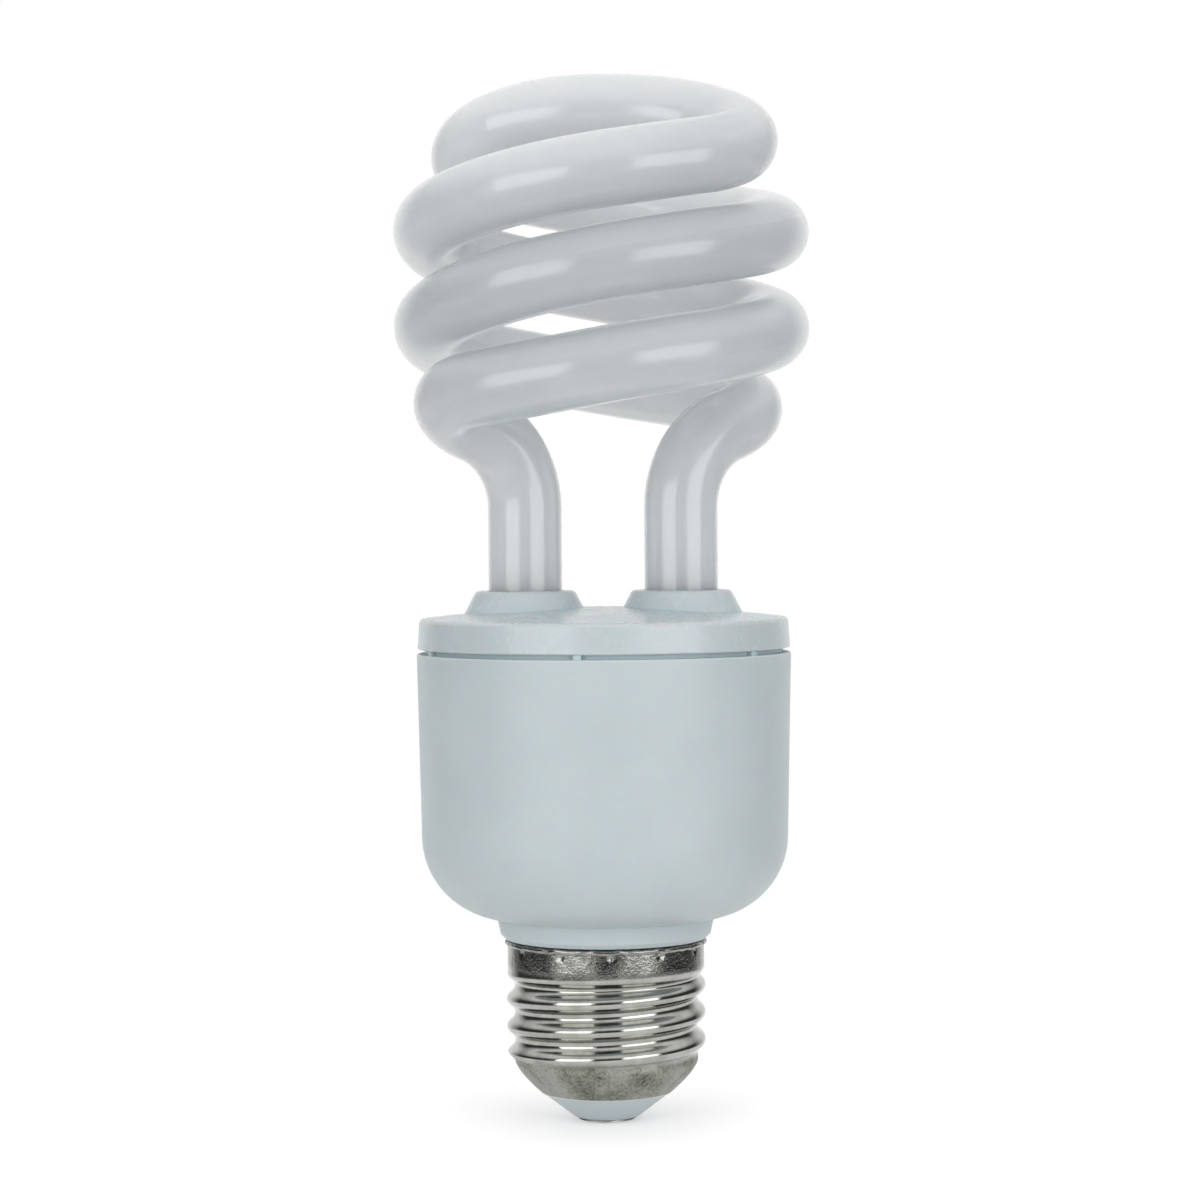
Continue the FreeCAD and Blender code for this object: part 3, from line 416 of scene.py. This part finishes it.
def capacitor_sleeve():
    """Dark shrunk sleeve with a pale stripe down one side."""
    material, tree, shader = start_finish("capacitor_sleeve")
    sleeve = cloudy_tone(
        tree, clouds(tree, grain=4 * MM), dark=(0.012, 0.018, 0.05), pale=(0.02, 0.03, 0.075))
    stripe = spread(tree, along(tree, "X"), CAN_STRIPE_X, CAN_STRIPE_X + 2 * FINISH_STEP)
    wire = spread(tree, along(tree, "Z"), LEADS_Z, LEADS_Z + FINISH_STEP)
    tone = lay_over(tree, stripe, sleeve, (0.5, 0.52, 0.55))
    tone = lay_over(tree, wire, tone, TINNED)
    rough = cloudy_roughness(tree, clouds(tree, grain=3 * MM), least=0.18, most=0.3)
    set_sockets(shader, Base_Color=tone, Metallic=wire, Roughness=rough)
    relief(tree, shader, clouds(tree, grain=2 * MM), depth=0.05 * MM, strength=0.5)
    return material


def near_resistor(tree):
    """1 close to a small resistor or to the fuse, which stands on the bulb's axis, and 0 on a folded lead."""
    middles = [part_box(node)[0][0] + RESISTOR_RADIUS for node in ("bias_resistor_1", "bias_resistor_2")]
    sideways = along(tree, "X")
    nearest = reckon(tree, "ABSOLUTE", sideways)
    for middle in middles:
        off = reckon(tree, "ABSOLUTE", reckon(tree, "SUBTRACT", sideways, middle))
        nearest = reckon(tree, "MINIMUM", nearest, off)
    return reckon(tree, "LESS_THAN", nearest, RESISTOR_REACH)


def resistor_coat():
    """Buff coat with coloured rings on the small resistors and the fuse, and tinned leads beyond them."""
    material, tree, shader = start_finish("resistor_coat")
    height = along(tree, "Z")
    fuse = spread(tree, height, FUSE_TOP_Z - FUSE_LENGTH, FUSE_TOP_Z - BARE_END)
    small = spread(tree, height, LEADS_Z - RESISTOR_LENGTH, LEADS_Z - BARE_END)
    share = reckon(tree, "FRACT", reckon(tree, "ADD", fuse, small))
    share = reckon(tree, "MULTIPLY", share, near_resistor(tree))
    stops = [(0.0, TINNED), (LEAD_SHARE, BUFF)]
    for place, colour in RESISTOR_RINGS:
        stops += [(place, colour), (place + RING_WIDTH, BUFF)]
    tone = tint(tree, share, *stops, blend="CONSTANT")
    metal = reckon(tree, "LESS_THAN", share, LEAD_SHARE)
    rough = cloudy_roughness(tree, clouds(tree, grain=1 * MM), least=0.25, most=0.4)
    set_sockets(shader, Base_Color=tone, Metallic=metal, Roughness=rough)
    relief(tree, shader, clouds(tree, grain=0.5 * MM), depth=0.03 * MM, strength=0.5)
    return material


# Pieces that stand for a solid in more detail
def turn_round(shape, steps):
    """Turn a shape's points and edges once about the bulb's axis, and close the seam."""
    bmesh.ops.spin(shape, geom=shape.verts[:] + shape.edges[:], axis=UP, angle=FULL_TURN, steps=steps,
                   use_merge=True)
    bmesh.ops.remove_doubles(shape, verts=shape.verts[:], dist=WELD_DISTANCE)


def hand_over(name, shape, finish, node):
    """Make a piece of a shape, in the place of a solid."""
    bmesh.ops.recalc_face_normals(shape, faces=shape.faces[:])
    mesh = bpy.data.meshes.new(name)
    shape.to_mesh(mesh)
    shape.free()
    mesh.shade_smooth()
    mesh.set_sharp_from_angle(angle=SHARP_ANGLE)
    mesh.materials.append(finish)
    piece = bpy.data.objects.new(name, mesh)
    bpy.context.scene.collection.objects.link(piece)
    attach(piece, "root")
    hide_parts(node)
    return piece


def eased(value):
    """A smooth step from 0 to 1."""
    part = min(max(value, 0.0), 1.0)
    return part * part * (3 - 2 * part)


def stake_dent(angle, height):
    """How deep the stakes that lock the shell to the neck press it in."""
    spacing = FULL_TURN / STAKE_COUNT
    off = (angle - STAKE_TURN + spacing / 2) % spacing - spacing / 2
    reach = ((off * BAND_RADIUS) ** 2 + (height - STAKE_Z) ** 2) / STAKE_SIZE ** 2
    return STAKE_DEPTH * math.exp(-reach * reach)


def shell_radius(angle, height):
    """Outer radius of the rolled shell at an angle round the axis and a height."""
    if height < THREAD_Z:
        part = (height - LIP_Z) / DOME_HEIGHT
        swell = (part + math.sin(part * math.pi / 2)) / 2
        return SHELL_LIP_RADIUS + (THREAD_ROOT_RADIUS - SHELL_LIP_RADIUS) * swell
    phase = FULL_TURN * (height - FIRST_CREST_Z) / THREAD_PITCH - angle
    wave = (1 + THREAD_FULLNESS) * math.cos(phase) - THREAD_FULLNESS * math.cos(3 * phase)
    ridge = THREAD_DEPTH / 2 * (1 + wave) * eased((height - THREAD_Z) / THREAD_LEAD_IN)
    run_out = eased((height - BAND_Z + THREAD_RUN_OUT) / THREAD_RUN_OUT)
    threaded = THREAD_ROOT_RADIUS + ridge
    return threaded + (BAND_RADIUS - threaded) * run_out - stake_dent(angle, height)


def crimp(angle):
    """How far the rolled edge is pressed in, unevenly, at an angle round the axis."""
    waves = [math.sin(count * angle + count) for count in CRIMP_COUNTS]
    return CRIMP_DEPTH * (1 + sum(waves) / len(waves))


def roll_top_edge(shape):
    """Grow the shell's upper rim, step by step, into a crimped rolled edge."""
    rim = [edge for edge in shape.edges if edge.is_boundary and edge.verts[0].co.z > STAKE_Z]
    for step in range(ROLLED_EDGE_STEPS):
        turn = ROLLED_EDGE_START + ROLLED_EDGE_SWEEP * step / (ROLLED_EDGE_STEPS - 1)
        radius = BAND_RADIUS + ROLLED_EDGE * math.cos(turn)
        height = NECK_Z - ROLLED_EDGE + ROLLED_EDGE * math.sin(turn)
        grown = bmesh.ops.extrude_edge_only(shape, edges=rim)["geom"]
        for vert in (item for item in grown if isinstance(item, bmesh.types.BMVert)):
            angle = math.atan2(vert.co.y, vert.co.x)
            crimped = radius - crimp(angle)
            vert.co = Vector((crimped * math.cos(angle), crimped * math.sin(angle), height - crimp(angle)))
        rim = [item for item in grown if isinstance(item, bmesh.types.BMEdge)]


def make_threaded_shell(finish):
    """Thin rolled shell: dome, round thread, staked band and a rolled top edge."""
    shape = bmesh.new()
    band_top = NECK_Z - 2 * ROLLED_EDGE
    ends = [shape.verts.new((BAND_RADIUS, 0, height)) for height in (LIP_Z, band_top)]
    upright = shape.edges.new(ends)
    bmesh.ops.subdivide_edges(shape, edges=[upright], cuts=SHELL_ROWS - 1)
    turn_round(shape, SHELL_COLUMNS)
    for vert in shape.verts:
        angle = math.atan2(vert.co.y, vert.co.x)
        radius = shell_radius(angle, vert.co.z)
        vert.co.x = radius * math.cos(angle)
        vert.co.y = radius * math.sin(angle)
    roll_top_edge(shape)
    piece = hand_over("threaded_shell", shape, finish, "screw_shell")
    sheet = piece.modifiers.new("sheet", "SOLIDIFY")
    sheet.thickness = SHELL_WALL / 2
    sheet.offset = -1


def make_contact_button(finish):
    """Contact disc with a rounded edge, a low crown of solder and its hollow rivet."""
    outline = SOLDER_CROWN + [
        (CONTACT_RADIUS, CONTACT_EDGE_Z),
        (CONTACT_RADIUS - CONTACT_EDGE_DRAFT, CONTACT_THICKNESS),
        (RIVET_RADIUS, CONTACT_THICKNESS),
        (RIVET_RADIUS, RIVET_TOP_Z),
        (0, RIVET_TOP_Z),
    ]
    shape = bmesh.new()
    verts = [shape.verts.new((radius, 0, height)) for radius, height in outline]
    for pair in zip(verts, verts[1:]):
        shape.edges.new(pair)
    turn_round(shape, CONTACT_SEGMENTS)
    hand_over("contact_button", shape, finish, "centre_contact")


# Studio
def add_camera():
    """Camera where the photo was taken from, framed as the photo is."""
    data = bpy.data.cameras.new("photo_camera")
    camera = bpy.data.objects.new("photo_camera", data)
    bpy.context.scene.collection.objects.link(camera)
    eye = Vector((PICTURE_MIDDLE.x, -EYE_DISTANCE, EYE_HEIGHT))
    aim = PICTURE_MIDDLE - eye
    data.angle = 2 * math.atan(PICTURE_WIDTH / 2 / EYE_DISTANCE)
    data.clip_start = CAMERA_CLIP
    camera.rotation_mode = "QUATERNION"
    camera.location = eye
    camera.rotation_quaternion = aim.to_track_quat("-Z", "Y") @ Quaternion((0, 0, 1), CAMERA_ROLL)
    bpy.context.scene.camera = camera


def add_softbox(name, turn):
    """Wide softbox beside the camera, aimed at the bulb."""
    data = bpy.data.lights.new(name, "AREA")
    data.shape = "RECTANGLE"
    data.size = SOFTBOX_WIDTH
    data.size_y = SOFTBOX_TALL
    data.energy = SOFTBOX_POWER
    lamp = bpy.data.objects.new(name, data)
    bpy.context.scene.collection.objects.link(lamp)
    angle = math.radians(turn)
    place = Vector((math.sin(angle), -math.cos(angle), 0)) * SOFTBOX_DISTANCE
    lamp.location = place + UP * SOFTBOX_HEIGHT
    lamp.rotation_mode = "QUATERNION"
    lamp.rotation_quaternion = (SOFTBOX_AIM - lamp.location).to_track_quat("-Z", "Y")


def add_backdrop():
    """White behind the bulb, pale above and below, dim behind the camera."""
    world = bpy.data.worlds.new("studio")
    bpy.context.scene.world = world
    world.use_nodes = True
    tree = world.node_tree
    place = tree.nodes.new("ShaderNodeTexCoord")
    axes = tree.nodes.new("ShaderNodeSeparateXYZ")
    tree.links.new(place.outputs["Generated"], axes.inputs["Vector"])
    backdrop = spread(tree, axes.outputs["Y"], *BACKDROP_FADE_Y)
    behind = spread(tree, backdrop, 0.0, 1.0, ROOM_LEVEL, BACKDROP_LEVEL)
    above = spread(tree, axes.outputs["Z"], *CEILING_FADE_Z, 0.0, CEILING_LEVEL)
    below = spread(tree, axes.outputs["Z"], *FLOOR_FADE_Z, 0.0, FLOOR_LEVEL)
    light = reckon(tree, "MAXIMUM", behind, reckon(tree, "MAXIMUM", above, below))
    rays = tree.nodes.new("ShaderNodeLightPath")
    mirrored = reckon(tree, "MAXIMUM", rays.outputs["Is Glossy Ray"], rays.outputs["Is Transmission Ray"])
    mirrored = reckon(tree, "MULTIPLY", mirrored, backdrop)
    white = reckon(tree, "MAXIMUM", rays.outputs["Is Camera Ray"], mirrored)
    level = reckon(tree, "MAXIMUM", light, white)
    set_sockets(tree.nodes["Background"], Color=(1, 1, 1), Strength=level)


def add_table():
    """Pale round floor that fades into the white backdrop and keeps the bulb's shadow."""
    shape = bmesh.new()
    bmesh.ops.create_circle(shape, cap_ends=True, radius=TABLE_RADIUS, segments=TABLE_SEGMENTS)
    mesh = bpy.data.meshes.new("table")
    shape.to_mesh(mesh)
    shape.free()
    table = bpy.data.objects.new("table", mesh)
    bpy.context.scene.collection.objects.link(table)
    material, tree, shader = start_finish("table")
    rays = tree.nodes.new("ShaderNodeLightPath")
    seen = reckon(tree, "MAXIMUM", rays.outputs["Is Camera Ray"], rays.outputs["Is Glossy Ray"])
    seen = reckon(tree, "MAXIMUM", seen, rays.outputs["Is Transmission Ray"])
    glow = reckon(tree, "MULTIPLY", seen, TABLE_GLOW)
    reach = tree.nodes.new("ShaderNodeVectorMath")
    reach.operation = "LENGTH"
    tree.links.new(place_on(tree), reach.inputs[0])
    fade = spread(tree, reach.outputs["Value"], TABLE_RADIUS - TABLE_FADE, TABLE_RADIUS, 1.0, 0.0)
    set_sockets(shader, Base_Color=(0.8, 0.8, 0.8), Roughness=0.9, Alpha=fade)
    set_sockets(shader, Emission_Color=(1, 1, 1), Emission_Strength=glow)
    mesh.materials.append(material)


bpy.context.scene.view_settings.view_transform = "Standard"
add_camera()
add_backdrop()
add_table()
for number, turn in enumerate(SOFTBOX_TURNS, 1):
    add_softbox(f"softbox_{number}", turn)

finishes = {
    "phosphor_glass": phosphor_glass(),
    "white_plastic": moulded_plastic(
        "white_plastic", dark=(0.53, 0.60, 0.62), pale=(0.57, 0.64, 0.66), smooth_above=SEAM_Z),
    "nickel_plate": nickel_plate(),
    "insulator": moulded_plastic("insulator", dark=(0.57, 0.63, 0.66), pale=(0.61, 0.67, 0.70)),
    "contact_metal": contact_metal(),
    "cement": plain_finish(
        "cement", dark=(0.55, 0.52, 0.46), pale=(0.68, 0.65, 0.59), grain=0.8 * MM, roughness=0.65),
    "board": board_laminate(),
    "ferrite": plain_finish(
        "ferrite", dark=(0.02, 0.02, 0.023), pale=(0.05, 0.05, 0.054), grain=0.4 * MM, roughness=0.45),
    "copper_winding": wound_wire(),
    "bobbin_plastic": plain_finish(
        "bobbin_plastic", dark=(0.50, 0.42, 0.28), pale=(0.58, 0.50, 0.35), grain=3 * MM, roughness=0.35,
        wire_above=BOBBIN_TOP_Z),
    "capacitor_sleeve": capacitor_sleeve(),
    "film_dip": plain_finish(
        "film_dip", dark=(0.30, 0.07, 0.02), pale=(0.42, 0.12, 0.035), grain=3 * MM, roughness=0.16,
        wire_above=LEADS_Z),
    "moulded_package": plain_finish(
        "moulded_package", dark=(0.012, 0.012, 0.013), pale=(0.028, 0.028, 0.03), grain=0.5 * MM,
        roughness=0.4, wire_above=LEADS_Z),
    "resistor_coat": resistor_coat(),
    "lead_wire": plain_finish(
        "lead_wire", dark=(0.50, 0.49, 0.47), pale=(0.68, 0.67, 0.65), grain=1 * MM, roughness=0.22,
        metal=1.0),
}
for part in frame["record"]["subparts"]:
    dress = frame["nodes"][part["node"]].data.materials
    dress.clear()
    dress.append(finishes[part["material_slot"]])
make_threaded_shell(finishes["nickel_plate"])
make_contact_button(finishes["contact_metal"])
